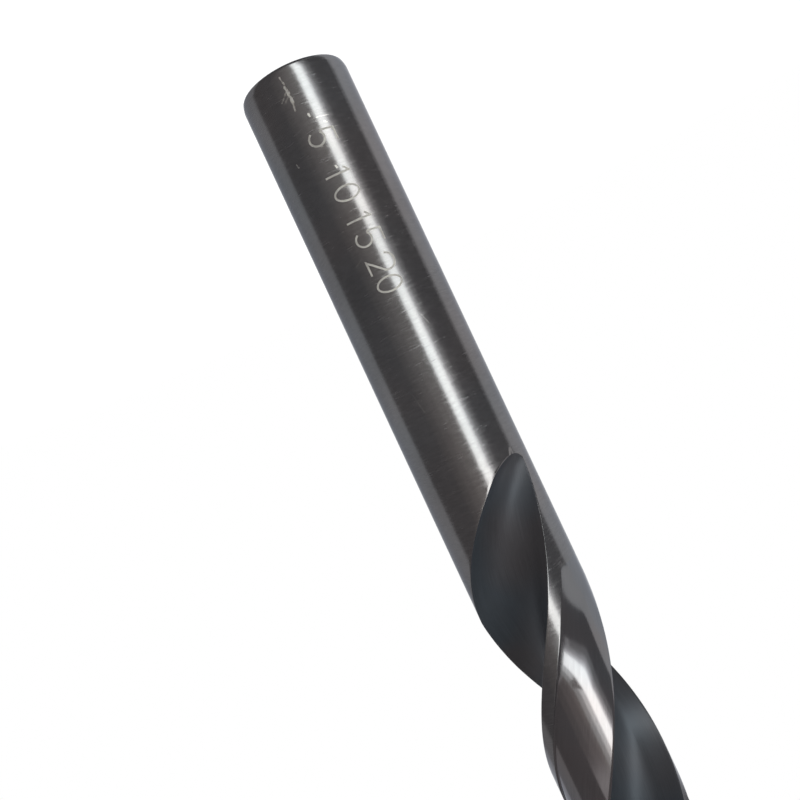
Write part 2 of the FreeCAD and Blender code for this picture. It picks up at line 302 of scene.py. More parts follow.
@dataclass
class DrillSurface:
    """The whole drill as rows of points, each row once round the drill.

    The chisel is the first column that ends at a tip of the chisel edge, which top() finds.
    """

    helix: Helix = field(default_factory=Helix)
    flute: FluteForm = field(default_factory=FluteForm)
    point: PointGrind = field(default_factory=PointGrind)
    radius: float = RADIUS
    taper: float = 0.02
    clearance: float = 0.22
    clearance_start: float = 66.0
    clearance_run: float = 7.0
    hollow_width: float = 2.7
    hollow_depth: float = 0.4
    hollow_run: float = 13.6
    hollow_hold: int = 6
    hollow_fade: float = 1.5
    step_width: float = 0.16
    margin: float = 15.3
    break_depth: float = 0.3
    break_length: float = 0.95
    break_flat: float = 0.45
    break_steps: int = 6
    end_rings: int = 8
    shank_rows: int = 40
    runout_rows: int = 64
    body_step: float = 0.42
    top_rows: int = 14
    top_start: float = 152.0
    top_step: float = 0.1
    flute_columns: int = 46
    land_columns: int = 34
    land_crowding: float = 1.6
    margin_columns: int = 14
    chisel: int = 0

    @property
    def half(self) -> int:
        """Columns in half a turn."""
        return self.flute_columns + self.land_columns + self.margin_columns + 1

    @property
    def columns(self) -> int:
        """Columns in a whole turn."""
        return 2 * self.half

    def body_radius(self, height: float) -> float:
        """Radius over the margins, which falls a little towards the shank."""
        share = (self.flute.length - height) / (self.flute.length - self.flute.start)
        return self.radius - self.taper * min(1.0, share)

    def land_radius(self, height: float, behind: float) -> float:
        """Radius of a land, ground away by a wheel that runs out across the helix.

        Args:
            height: Height of the place.
            behind: How far it lies behind the margin, in radians.

        Returns:
            The radius there. The land falls away from the margin in a hollow, which is wide
            where the wheel left the work and narrow further on.
        """
        lean = math.radians(self.helix.angle)
        arc = behind * self.radius
        along = (height - self.clearance_start) / math.cos(lean) - arc * math.sin(lean)
        if along <= 0:
            return self.body_radius(height)
        depth = self.clearance * (1 - (1 - min(1.0, along / self.clearance_run)) ** 2)
        across = arc * math.cos(lean)
        plain = 1 - (1 - min(1.0, across / self.step_width)) ** 2
        share = min(1.0, along / self.hollow_run)
        keep = 1 - share**self.hollow_hold
        hollow = 1 - (1 - min(1.0, across / self.hollow_width)) ** 2
        beyond = max(0.0, across / self.hollow_width - 1)
        fade = (1 + self.hollow_fade * beyond**2) ** 2
        dip = (self.hollow_depth - self.clearance) / self.clearance / fade
        return self.body_radius(height) - depth * (plain * (1 - keep) + hollow * (1 + dip) * keep)

    def deepest(self, height: float) -> tuple[float, float]:
        """Place at which the flute's path is nearest to the axis.

        Args:
            height: Height of the section.

        Returns:
            How far along the path it lies, and its radius.
        """
        at, face_end, _, end = self.flute.outline(height)
        low, high = face_end / 2, end
        for _ in range(SEARCH_ROUNDS):
            first, second = low + (high - low) / 3, high - (high - low) / 3
            if math.hypot(*at(first)) < math.hypot(*at(second)):
                high = second
            else:
                low = first
        return (low + high) / 2, math.hypot(*at((low + high) / 2))

    def half_row(self, height: float) -> list[Point]:
        """Half a turn: flute, land, step and margin.

        Args:
            height: Height of the row.

        Returns:
            Its points from one leading corner to just before the other.
        """
        at, _, _, end = self.flute.outline(height)
        bottom, _ = self.deepest(height)
        outer = self.body_radius(height)
        turn = self.helix.turn(height)
        step_angle = turn + math.pi - math.radians(self.margin)

        def in_bar(distance: float) -> bool:
            """Whether the path is still inside the drill's relieved outside.

            Args:
                distance: How far along the path to look.

            Returns:
                True if it is inside there.
            """
            x, y = at(distance)
            behind = step_angle - turn - math.atan2(y, x)
            return math.hypot(x, y) < self.land_radius(height, max(0.0, behind))

        lead = bisect(bottom, 0.0, lambda s: math.hypot(*at(s)) < outer)
        heel = bisect(bottom, end, in_bar)
        row = []
        for column in range(self.flute_columns + 1):
            x, y = at(lead + (heel - lead) * column / self.flute_columns)
            row.append(polar(math.hypot(x, y), math.atan2(y, x) + turn))
        first, last = at(lead), at(heel)
        heel_angle = math.atan2(last[1], last[0]) + turn
        corner_angle = math.atan2(first[1], first[0]) + turn + math.pi
        for column in range(1, self.land_columns + 1):
            share = 1 - (1 - column / self.land_columns) ** self.land_crowding
            angle = heel_angle + (step_angle - heel_angle) * share
            row.append(polar(self.land_radius(height, step_angle - angle), angle))
        for column in range(self.margin_columns):
            share = column / self.margin_columns
            row.append(polar(outer, step_angle + (corner_angle - step_angle) * share))
        return row

    def row(self, height: float) -> list[Vector]:
        """A whole turn at a height; the second half is the first one turned by half a turn."""
        half = self.half_row(height)
        return [Vector((side * x, side * y, height)) for side in (1, -1) for x, y in half]

    def shank_profile(self) -> list[Point]:
        """Outline of the shank, with its end's edge broken by a flat that turns into an arc.

        Returns:
            Radius and height of each row, from the run-out down to the middle of the end face.
        """
        radius = self.radius - self.taper
        top, bottom = self.runout_start(), self.break_length
        profile = [
            (radius, top + (bottom - top) * row / self.shank_rows)
            for row in range(1, self.shank_rows + 1)
        ]
        for step in range(1, self.break_steps + 1):
            share = step / self.break_steps
            arc = 1 - math.sqrt(1 - share**2)
            inward = self.break_flat * share + (1 - self.break_flat) * arc
            profile.append((radius - self.break_depth * inward, bottom * (1 - share)))
        face = radius - self.break_depth
        rings = range(1, self.end_rings + 1)
        return profile + [(face * (1 - ring / self.end_rings), 0.0) for ring in rings]

    def runout_start(self) -> float:
        """Height at which the flutes' path first touches the bar."""
        limit = self.radius - self.taper
        return bisect(
            self.flute.start + self.flute.end_length,
            self.flute.start - 1.0,
            lambda height: self.deepest(height)[1] < limit,
        )

    def shank(self) -> list[list[Vector]]:
        """Rows of the shank, whose columns are those of the first fluted row.

        Returns:
            The rows from the middle of the end face up to the run-out.
        """
        first = self.row(self.runout_start())
        angles = [math.atan2(point.y, point.x) for point in first]
        rows = []
        for radius, height in reversed(self.shank_profile()):
            rows.append([Vector((*polar(radius, angle), height)) for angle in angles])
        return rows

    def fluted(self) -> list[list[Vector]]:
        """Fluted rows, close together where the run-out begins.

        Returns:
            The rows from the run-out to just under the point.
        """
        start, full = self.runout_start(), self.flute.full_depth
        heights = [
            start + (full - start) * (row / self.runout_rows) ** 2
            for row in range(self.runout_rows + 1)
        ]
        steps = round((self.top_start - full) / self.body_step)
        heights += [full + (self.top_start - full) * row / steps for row in range(1, steps + 1)]
        return [self.row(height) for height in heights]

    def top(self) -> list[list[Vector]]:
        """Rows under the point, with a column that ends at each tip of the chisel edge.

        Returns:
            The rows from just under the point up to its rim.
        """
        step = self.top_step
        count = round((self.point.length + 1 - self.top_start) / step)
        table = [self.row(self.top_start + step * index) for index in range(count + 1)]

        def blend(column: float, place: float) -> Vector:
            """Point of the table between its columns and rows.

            Args:
                column: Column, with its fraction.
                place: Row, with its fraction.

            Returns:
                The point on the drill's surface.
            """
            left, low = math.floor(column), min(math.floor(place), count - 1)
            across, up = column - left, place - low
            first, second = left % self.columns, (left + 1) % self.columns
            lower = table[low][first].lerp(table[low][second], across)
            upper = table[low + 1][first].lerp(table[low + 1][second], across)
            return lower.lerp(upper, up)

        def meeting(column: float) -> float:
            """Place in the table, counted in rows, at which a column meets the point's surface."""

            def under(place: float) -> bool:
                """Whether the column is still under the surface there."""
                spot = blend(column, place)
                return spot.z < self.point.height(spot.x, spot.y)

            return bisect(0.0, float(count), under)

        edge = [blend(column, meeting(column)) for column in range(self.columns)]
        chisel = next(
            column
            for column in range(self.flute_columns)
            if self.point.side(edge[column].x, edge[column].y) >= 0
            > self.point.side(edge[column + 1].x, edge[column + 1].y)
        )
        first, second = (self.point.side(edge[c].x, edge[c].y) for c in (chisel, chisel + 1))
        shift = first / (first - second)
        if shift > 0.5:
            chisel, shift = chisel + 1, shift - 1

        def shifted(column: int, amount: float) -> float:
            """Column moved so that one of them ends at the tip of the chisel edge.

            Args:
                column: The column.
                amount: How much of the move it has made, from 0 to 1.

            Returns:
                Its new place in the table, with its fraction.
            """
            local = column % self.half
            if local >= self.flute_columns:
                return float(column)
            share = local / chisel
            if local > chisel:
                share = (self.flute_columns - local) / (self.flute_columns - chisel)
            return column + shift * share * amount

        self.chisel = chisel
        rows = []
        for index in range(1, self.top_rows + 1):
            share = index / self.top_rows
            places = [shifted(column, share) for column in range(self.columns)]
            rows.append([blend(place, meeting(place) * share) for place in places])
        return rows

    def rows(self) -> list[list[Vector]]:
        """All rows from the middle of the shank end to the rim of the point."""
        return self.shank() + self.fluted() + self.top()

    def zone(self, row: int, column: int, height: float) -> Zone:
        """Grinding that a face shows.

        Args:
            row: Row at its lower edge.
            column: Column at its first side.
            height: Height of that row.

        Returns:
            The zone to which the face belongs.
        """
        if row < self.end_rings:
            return Zone.END
        local = column % self.half
        if height < self.flute.start or local >= self.flute_columns + self.land_columns:
            return Zone.SHANK
        if local < self.flute_columns:
            return Zone.FLUTE
        return Zone.LAND if height > self.clearance_start else Zone.SHANK


@dataclass
class DrillMesh:
    """Builds the drill's mesh from its rows, closes its point and breaks its edges."""

    surface: DrillSurface = field(default_factory=DrillSurface)
    merge: float = 2e-4
    edge_break: float = 0.03
    edge_segments: int = 2
    sharp_angle: float = 16.0
    sharp_from: float = 53.0
    step_from: float = 76.0
    chisel_steps: int = 8
    flank_rounds: int = 5
    flank_grain: float = 0.5

    def build(self) -> bpy.types.Object:
        """Grid wrapped round the drill, closed at its seam and at both ends.

        Returns:
            The drill as one closed mesh, with a map of the share of a turn at which each
            point lies and of its height in metres.
        """
        rows = self.surface.rows()
        columns = self.surface.columns
        bm = bmesh.new()
        last_row = len(rows) - 1
        bmesh.ops.create_grid(bm, x_segments=columns, y_segments=last_row, size=1.0)
        lines = bm.loops.layers.uv.new(LINES_MAP)
        places = {
            vert: (round((vert.co.y + 1) / 2 * last_row), round((vert.co.x + 1) / 2 * columns))
            for vert in bm.verts
        }
        for face in bm.faces:
            row, column = (min(places[vert][axis] for vert in face.verts) for axis in (0, 1))
            face.material_index = self.surface.zone(row, column, rows[row][0].z).value
            for loop in face.loops:
                row, column = places[loop.vert]
                loop[lines].uv = (column / columns, rows[row][column % columns].z * MM)
        for vert, (row, column) in places.items():
            vert.co = rows[row][column % columns]
        self.close_point(bm, rows[-1])
        bmesh.ops.remove_doubles(bm, verts=bm.verts, dist=self.merge)
        bmesh.ops.dissolve_degenerate(bm, edges=bm.edges, dist=self.merge)
        bmesh.ops.recalc_face_normals(bm, faces=bm.faces)
        self.break_edges(bm)
        bmesh.ops.scale(bm, verts=bm.verts, vec=Vector((MM, MM, MM)))
        return new_object("drill_bit", bm)

    def close_point(self, bm: bmesh.types.BMesh, rim: list[Vector]) -> None:
        """Add the two flanks between the rim and the chisel edge.

        Args:
            bm: The drill, open at its point.
            rim: Its last row.
        """
        half, columns, chisel = self.surface.half, self.surface.columns, self.surface.chisel
        for begin in (chisel, chisel + half):
            border = [rim[(begin + step) % columns] for step in range(half + 1)]
            ridge = []
            for step in range(1, self.chisel_steps):
                x, y, _ = border[-1].lerp(border[0], step / self.chisel_steps)
                height = self.surface.point.height(x, y, on_chisel=True)
                ridge.append(Vector((x, y, height)))
            mesh = self.flank(border + ridge)
            bm.from_mesh(mesh)
            bpy.data.meshes.remove(mesh)

    def flank(self, border: list[Vector]) -> bpy.types.Mesh:
        """Fill one flank with small triangles that lie on its cone.

        Args:
            border: The points round the flank.

        Returns:
            The flank as a mesh of its own, open at its border.
        """
        bm = bmesh.new()
        verts = [bm.verts.new(spot) for spot in border]
        ring = [bm.edges.new(pair) for pair in zip(verts, verts[1:] + verts[:1])]
        bmesh.ops.triangle_fill(
            bm, use_beauty=True, use_dissolve=False, edges=ring, normal=(0, 0, 1)
        )
        for _ in range(self.flank_rounds):
            inner = [edge for edge in bm.edges if not edge.is_boundary]
            long = [edge for edge in inner if edge.calc_length() > self.flank_grain]
            bmesh.ops.subdivide_edges(bm, edges=long, cuts=1)
            bmesh.ops.triangulate(bm, faces=bm.faces)
            inner = [edge for edge in bm.edges if not edge.is_boundary]
            bmesh.ops.beautify_fill(bm, faces=bm.faces, edges=inner, method="ANGLE")
            free = [vert for vert in bm.verts if not vert.is_boundary]
            bmesh.ops.smooth_vert(bm, verts=free, factor=0.5, use_axis_x=True, use_axis_y=True)
        for vert in free:
            vert.co.z = self.surface.point.height(vert.co.x, vert.co.y)
        for face in bm.faces:
            face.material_index = Zone.FLANK.value
        mesh = bpy.data.meshes.new("flank")
        bm.to_mesh(mesh)
        bm.free()
        return mesh

    def breakable(self, edge: bmesh.types.BMEdge) -> bool:
        """Whether an edge is an outer one that is ground sharp enough to be broken.

        Args:
            edge: An edge of the drill's mesh.

        Returns:
            True if it is, and clear of the run-out's tip and of the low part of the step.
        """
        if not edge.is_manifold or not edge.is_convex:
            return False
        low = min(vert.co.z for vert in edge.verts)
        zones = {Zone(face.material_index) for face in edge.link_faces}
        start = self.step_from if zones == {Zone.LAND, Zone.SHANK} else self.sharp_from
        return low > start and edge.calc_face_angle() > math.radians(self.sharp_angle)

    def break_edges(self, bm: bmesh.types.BMesh) -> None:
        """Round the outer edges of the grinding by a few hundredths of a millimetre."""
        bmesh.ops.bevel(
            bm,
            geom=[edge for edge in bm.edges if self.breakable(edge)],
            offset=self.edge_break,
            offset_type="OFFSET",
            affect="EDGES",
            segments=self.edge_segments,
            profile=0.5,
            material=-1,
            clamp_overlap=False,
        )


class Graph:
    """The nodes of one material or of the world, added and joined in short calls."""

    def __init__(self, owner: bpy.types.Material | bpy.types.World, shader: str) -> None:
        """Start from the plain shader that a new material or world has.

        Args:
            owner: What the nodes belong to.
            shader: Name of that shader.
        """
        owner.use_nodes = True
        self.owner = owner
        self.tree = owner.node_tree
        self.shader = self.tree.nodes[shader]

    @classmethod
    def of_material(cls, name: str) -> "Graph":
        """Start a new material."""
        return cls(bpy.data.materials.new(name), "Principled BSDF")

    def dress(self, inputs: dict[str, Input]) -> None:
        """Give the shader its inputs, each a plain value or a socket to join."""
        for name, value in inputs.items():
            self.give(self.shader.inputs[name], value)

    def give(self, socket: Socket, value: Input) -> None:
        """Join a socket to another one, or write a value in it.

        Args:
            socket: The socket that gets the value.
            value: Another socket, a number, a place or a colour without its alpha.
        """
        if isinstance(value, bpy.types.NodeSocket):
            self.tree.links.new(value, socket)
        elif isinstance(value, tuple) and socket.type == "RGBA":
            socket.default_value = (*value, 1.0)
        else:
            socket.default_value = value

    def add(self, kind: str, inputs: dict[str | int, Input], **settings: str) -> bpy.types.Node:
        """Add a node.

        Args:
            kind: Its type.
            inputs: What its sockets get, by name or place.
            settings: Its own settings.

        Returns:
            The new node.
        """
        node = self.tree.nodes.new(kind)
        for name, value in settings.items():
            setattr(node, name, value)
        for key, value in inputs.items():
            self.give(node.inputs[key], value)
        return node

    def math(self, operation: str, first: Input, second: Input = 0.0) -> Socket:
        """Result of one sum on two numbers."""
        return self.add("ShaderNodeMath", {0: first, 1: second}, operation=operation).outputs[0]

    def place(self) -> Socket:
        """Place on the object, in metres."""
        return self.add("ShaderNodeTexCoord", {}).outputs["Object"]

    def parts(self, vector: Input) -> bpy.types.bpy_prop_collection:
        """The three parts of a vector."""
        return self.add("ShaderNodeSeparateXYZ", {0: vector}).outputs

    def stretch(self, vector: Input, scale: Triple, turn: float = 0.0) -> Socket:
        """A place scaled along each direction and then turned about the drill's axis."""
        inputs = {"Vector": vector, "Scale": scale, "Rotation": (0.0, 0.0, math.radians(turn))}
        return self.add("ShaderNodeMapping", inputs).outputs[0]

    def noise(self, vector: Input, detail: float, roughness: float = 0.5) -> Socket:
        """Soft random values from 0 to 1, one lump for each unit of the place given."""
        inputs = {"Vector": vector, "Scale": 1.0, "Detail": detail, "Roughness": roughness}
        return self.add("ShaderNodeTexNoise", inputs).outputs["Fac"]

    def lumps(self, per_metre: Triple, detail: float) -> Socket:
        """Soft random values that stay with the object, so many to a metre in each direction."""
        return self.noise(self.stretch(self.place(), per_metre), detail)

    def span(
        self, value: Input, start: float, end: float, low: float = 0.0, high: float = 1.0
    ) -> Socket:
        """Value carried evenly from one range to another, and kept inside it."""
        inputs = {0: value, 1: start, 2: end, 3: low, 4: high}
        return self.add("ShaderNodeMapRange", inputs).outputs[0]

    def mix(self, share: Input, first: Input, second: Input) -> Socket:
        """Blend of two colours."""
        node = self.add("ShaderNodeMix", {0: share, 6: first, 7: second}, data_type="RGBA")
        return node.outputs[2]

    def seen(self) -> Socket:
        """1 for the camera's rays and for those that glossy or clear surfaces send on.

        Returns:
            That 1, or 0 for all other rays.
        """
        path = self.add("ShaderNodeLightPath", {}).outputs
        either = self.math("MAXIMUM", path["Is Camera Ray"], path["Is Glossy Ray"])
        return self.math("MAXIMUM", either, path["Is Transmission Ray"])

    def to_segment(self, spot: Input, start: Triple, end: Triple) -> Socket:
        """Distance of a place from a straight mark.

        Args:
            spot: The place.
            start: One end of the mark.
            end: Its other end.

        Returns:
            The distance, in the same measure.
        """
        run = Vector(end) - Vector(start)
        from_start = self.vector("SUBTRACT", spot, start)
        share = self.vector("DOT_PRODUCT", from_start, tuple(run / run.length_squared))
        along = self.scaled(tuple(run), self.span(share, 0.0, 1.0))
        return self.vector("LENGTH", self.vector("SUBTRACT", from_start, along), (0.0, 0.0, 0.0))

    def scaled(self, vector: Input, factor: Input) -> Socket:
        """A vector or a colour times a number."""
        inputs = {0: vector, 3: factor}
        return self.add("ShaderNodeVectorMath", inputs, operation="SCALE").outputs[0]

    def vector(self, operation: str, first: Input, second: Input) -> Socket:
        """Result of one sum on two vectors, a vector or a number."""
        node = self.add("ShaderNodeVectorMath", {0: first, 1: second}, operation=operation)
        return node.outputs["Value" if operation in ("DOT_PRODUCT", "LENGTH") else "Vector"]

    def bump(self, height: Input, depth: float) -> Socket:
        """Surface direction disturbed by a height from 0 to 1 that stands for a depth in metres."""
        inputs = {"Strength": 1.0, "Distance": depth, "Height": height}
        return self.add("ShaderNodeBump", inputs).outputs[0]


@dataclass(frozen=True)
class Mark:
    """Scratch or nick on the shank; places are millimetres across from the front and up."""

    start: Point
    end: Point
    width: float
    strength: float = 0.8


MARKS = (
    Mark((1.35, 1.2), (1.05, 3.3), 0.2, 0.75),
    Mark((1.3, 2.3), (1.1, 4.4), 0.3, 0.85),
    Mark((1.15, 4.0), (1.3, 5.5), 0.22, 0.7),
    Mark((1.2, 2.9), (2.3, 3.95), 0.2, 0.55),
    Mark((1.25, 3.6), (1.95, 4.1), 0.2, 0.5),
    Mark((0.1, 6.5), (0.02, 6.85), 0.18, 0.9),
    Mark((3.78, 11.0), (3.74, 11.35), 0.18, 0.9),
    Mark((-0.2, 13.3), (-0.28, 13.55), 0.15),
    Mark((-1.25, 8.0), (-1.5, 8.15), 0.13),
    Mark((-0.6, 7.25), (-2.3, 7.45), 0.08, 0.45),
    Mark((-0.9, 8.9), (-2.6, 9.0), 0.08, 0.3),
    Mark((0.35, 10.6), (0.2, 10.62), 0.15, 0.5),
    Mark((-1.9, 33.0), (-2.3, 34.2), 0.08, 0.35),
    Mark((1.7, 24.4), (2.6, 24.9), 0.08, 0.3),
    Mark((2.9, 41.0), (2.5, 43.4), 0.08, 0.3),
    Mark((-3.2, 18.6), (-3.9, 19.4), 0.08, 0.35),
)


@dataclass(frozen=True)
class Grinding:
    """How one zone is finished: its grinding lines, and how bright and even the steel is.

    Its fine lines and their broad bands are so many to a metre in each direction, or on flutes
    and lands so many to a turn round the drill and to a metre along it; the turn, in degrees,
    only shifts where they fall. The drift is how far the tint leans to warm in some places and
    to cool in others, and below zero those places change over. A satin finish has a low
    metallic value and scatters its light.
    """

    fine: Triple
    broad: Triple
    turn: float = 0.0
    smooth: float = 0.15
    rough: float = 0.29
    metallic: float = 0.88
    tone: Colour = (1.0, 1.0, 1.0)
    drift: float = 0.6
    specular: float = 0.5


FINISHES = {
    Zone.SHANK: Grinding(fine=(800.0, 800.0, 7000.0), broad=(200.0, 200.0, 1500.0)),
    # The flutes are darker, bluer and duller than the shank: their tone scales the colour down, and
    # they mirror less.
    Zone.FLUTE: Grinding(
        fine=(700.0, 160.0, 1.0),
        broad=(90.0, 40.0, 1.0),
        smooth=0.38,
        rough=0.46,
        metallic=0.35,
        tone=(0.36, 0.37, 0.43),
        drift=-2.2,
        specular=0.15,
    ),
    Zone.LAND: Grinding(
        fine=(700.0, 160.0, 1.0), broad=(90.0, 40.0, 1.0), smooth=0.1, rough=0.17, drift=1.4
    ),
    Zone.FLANK: Grinding(
        fine=(5200.0, 260.0, 260.0),
        broad=(900.0, 120.0, 120.0),
        turn=28.0,
        smooth=0.22,
        rough=0.34,
    ),
    Zone.END: Grinding(
        fine=(7000.0, 150.0, 150.0), broad=(1500.0, 90.0, 90.0), smooth=0.24, rough=0.4
    ),
}


@dataclass(frozen=True)
class GroundSteel:
    """Bare high-speed steel, dark and half bright, as the grinding wheel left it.

    Lumps are so many to a metre in each direction, and a range is the part of a pattern's
    values that shows. The scratch sizes from ragged to edge are shares of a mark's width.
    """

    steel: Colour = (0.179, 0.176, 0.178)
    warm: Colour = (0.007, -0.003, -0.002)
    cool: Colour = (-0.007, -0.001, 0.007)
    shade: Point = (0.74, 1.12)
    edge_tint: Colour = (0.58, 0.60, 0.65)
    anisotropy: float = 0.4
    line_depth: float = 1.0e-6
    cloud_lumps: Triple = (140.0, 140.0, 60.0)
    drift_lumps: Triple = (75.0, 75.0, 75.0)
    drift_range: Point = (0.4, 0.6)
    shade_range: Point = (0.32, 0.68)
    fine_range: Point = (0.47, 0.66)
    broad_range: Point = (0.38, 0.62)
    haze_range: Point = (0.3, 0.7)
    haze: float = 0.3
    scratch: Colour = (0.46, 0.45, 0.43)
    scratch_roughness: float = 0.5
    scratch_lumps: Triple = (2000.0, 2000.0, 2000.0)
    scratch_ragged: float = 2.2
    scratch_core: float = 0.2
    scratch_edge: float = 0.75

    @staticmethod
    def lines(graph: Graph, zone: Zone) -> tuple[Socket, Socket]:
        """Grinding lines of a zone.

        Args:
            graph: The material's nodes.
            zone: Which grinding it shows.

        Returns:
            Fine lines and broad bands of lines, each from 0 to 1.
        """
        finish = FINISHES[zone]
        if zone in (Zone.FLUTE, Zone.LAND):
            place = graph.add("ShaderNodeUVMap", {}, uv_map=LINES_MAP).outputs[0]
        else:
            place = graph.place()
        if zone is Zone.END:
            x, y, _ = graph.parts(place)
            squares = [graph.math("POWER", part, 2.0) for part in (x, y)]
            across = graph.math("SQRT", graph.math("ADD", *squares))
            place = graph.add("ShaderNodeCombineXYZ", {0: across, 1: x, 2: y}).outputs[0]
        return (
            graph.noise(graph.stretch(place, finish.fine, finish.turn), 3.0, roughness=0.6),
            graph.noise(graph.stretch(place, finish.broad, finish.turn), 2.0),
        )

    def wear(self, graph: Graph) -> Socket:
        """Scratches and nicks on the front of the shank.

        Args:
            graph: The material's nodes.

        Returns:
            How far the surface is worn there, from 0 to 1.
        """
        per_mm = (1 / MM, 1 / MM, 1 / MM)
        x, y, z = graph.parts(graph.stretch(graph.place(), per_mm, -VIEW_AZIMUTH))
        front = graph.span(x, 0.0, 1.0)
        spot = graph.add("ShaderNodeCombineXYZ", {0: y, 1: z}).outputs[0]
        ragged = graph.math("SUBTRACT", graph.lumps(self.scratch_lumps, 3.0), 0.5)
        worn: Input = 0.0
        for mark in MARKS:
            away = graph.to_segment(spot, (*mark.start, 0.0), (*mark.end, 0.0))
            astray = graph.math("MULTIPLY", ragged, mark.width * self.scratch_ragged)
            edge = graph.math("ADD", away, astray)
            core, rim = mark.width * self.scratch_core, mark.width * self.scratch_edge
            worn = graph.math("MAXIMUM", worn, graph.span(edge, core, rim, mark.strength, 0.0))
        return graph.math("MULTIPLY", worn, front)

    def tinted(self, lean: Colour, finish: Grinding) -> Colour:
        """Colour of the steel under a finish, leaning to a warmer or a cooler one."""
        parts = zip(self.steel, lean, finish.tone)
        return tuple((part + more * finish.drift) * tone for part, more, tone in parts)

    def material(self, zone: Zone) -> bpy.types.Material:
        """Material of one zone of the drill.

        Args:
            zone: Which grinding it shows.

        Returns:
            The material, with worn marks only on the shank.
        """
        graph = Graph.of_material(f"{zone.name.lower()}_steel")
        finish = FINISHES[zone]
        fine, broad = self.lines(graph, zone)
        cloud = graph.lumps(self.cloud_lumps, 3.0)
        drift = graph.span(graph.lumps(self.drift_lumps, 1.0), *self.drift_range)
        tint = graph.mix(drift, self.tinted(self.warm, finish), self.tinted(self.cool, finish))
        halves = [graph.math("MULTIPLY", part, 0.5) for part in (fine, cloud)]
        shade = graph.span(graph.math("ADD", *halves), *self.shade_range, *self.shade)
        colour = graph.scaled(tint, shade)
        bands = graph.span(broad, *self.broad_range)
        streak = graph.math("MULTIPLY", graph.span(fine, *self.fine_range), bands)
        haze = graph.math("MULTIPLY", graph.span(fine, *self.haze_range), self.haze)
        rough = graph.math("MAXIMUM", streak, haze)
        rough = graph.span(rough, 0.0, 1.0, finish.smooth, finish.rough)
        if zone is Zone.SHANK:
            worn = self.wear(graph)
            colour = graph.mix(worn, colour, self.scratch)
            worn = graph.math("MULTIPLY", worn, self.scratch_roughness)
            rough = graph.math("MAXIMUM", rough, worn)
        graph.dress(
            {
                "Base Color": colour,
                "Roughness": rough,
                "Normal": graph.bump(fine, self.line_depth),
                "Metallic": finish.metallic,
                "Specular IOR Level": finish.specular,
                "Specular Tint": self.edge_tint,
                "Anisotropic": self.anisotropy,
            }
        )
        return graph.owner


@dataclass(frozen=True)
class EtchedSteel:
    """Matte light grey left by etching."""

    dark: Colour = (0.26, 0.25, 0.235)
    light: Colour = (0.36, 0.35, 0.325)
    smooth: float = 0.52
    rough: float = 0.62
    metallic: float = 0.35
    grain_lumps: Triple = (9000.0, 9000.0, 9000.0)
    patch_lumps: Triple = (700.0, 700.0, 700.0)
    grain_range: Point = (0.3, 0.7)
    patch_range: Point = (0.35, 0.65)
    grain_depth: float = 3.0e-6

    def material(self) -> bpy.types.Material:
        """Material of the figures.

        Returns:
            The material, finely grained and a little patchy.
        """
        graph = Graph.of_material("etched_steel")
        grain = graph.lumps(self.grain_lumps, 3.0)
        patch = graph.span(graph.lumps(self.patch_lumps, 2.0), *self.patch_range)
        graph.dress(
            {
                "Base Color": graph.mix(patch, self.dark, self.light),
                "Roughness": graph.span(grain, *self.grain_range, self.smooth, self.rough),
                "Normal": graph.bump(grain, self.grain_depth),
                "Metallic": self.metallic,
            }
        )
        return graph.owner


@dataclass
class TwistDrill:
    """The drill with its five ground finishes."""

    steel: GroundSteel = field(default_factory=GroundSteel)
    mesh: DrillMesh = field(default_factory=DrillMesh)

    def build(self) -> bpy.types.Object:
        """Build the drill and let it stand for the CAD node.

        Returns:
            The drill, with its finishes in the order of the zones.
        """
        drill = self.mesh.build()
        for zone in Zone:
            drill.data.materials.append(self.steel.material(zone))
        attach(drill, BODY)
        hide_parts(NODE)
        return drill


